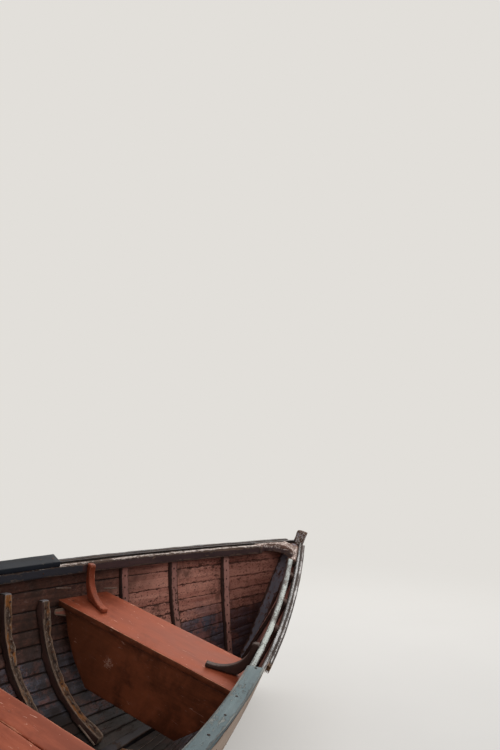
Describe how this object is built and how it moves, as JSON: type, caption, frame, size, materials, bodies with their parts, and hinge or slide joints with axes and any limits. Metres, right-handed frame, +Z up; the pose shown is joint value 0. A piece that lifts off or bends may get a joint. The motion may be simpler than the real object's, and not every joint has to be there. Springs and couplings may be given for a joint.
{
  "type": "wooden rowing boat",
  "caption": "Open carvel-planked wooden rowing boat with thwarts, frames and transom stern, lying over on its bilge runner.",
  "frame": {"origin": "centre of the bounding box, on the ground that the boat lies on", "axes": "+X towards the stem, +Y to port, +Z up; the boat lies heeled to starboard on keel and bilge runner"},
  "size_m": [4.8814, 1.5543, 0.9041],
  "materials": {
    "planking": "worn paint over bare softwood, matte",
    "seat_paint": "terracotta oil paint, satin",
    "dark_red_paint": "dark red-brown paint, satin",
    "gunwale_paint": "weathered blue-grey paint, flaking",
    "outside_paint": "weathered paint, matte",
    "bare_timber": "weathered bare wood, matte",
    "socket_iron": "galvanised iron gone dull, rough"
  },
  "bodies": {
    "root": {"apron": "bare_timber", "bearers": "bare_timber", "bow_timbers": "bare_timber", "breasthook": "gunwale_paint", "bulkhead": "dark_red_paint", "capping": "gunwale_paint", "crook_frames": "bare_timber", "floors": "bare_timber", "hog": "bare_timber", "inwales": "gunwale_paint", "keel": "outside_paint", "main_timbers": "bare_timber", "quarter_knees": "gunwale_paint", "rowlock_sockets": "socket_iron", "rub_rails": "gunwale_paint", "runners": "outside_paint", "stem": "outside_paint", "stern_bench": "seat_paint", "sternpost": "outside_paint", "strake_01": "planking", "strake_02": "planking", "strake_03": "planking", "strake_04": "planking", "strake_05": "planking", "strake_06": "planking", "strake_07": "planking", "strake_08": "planking", "strake_09": "planking", "strake_10": "planking", "strake_11": "planking", "strake_12": "planking", "strake_13": "planking", "thwart_aft": "seat_paint", "thwart_fore": "seat_paint", "thwart_knees": "dark_red_paint", "thwart_mid": "seat_paint", "transom": "outside_paint"}
  },
  "joints": []
}
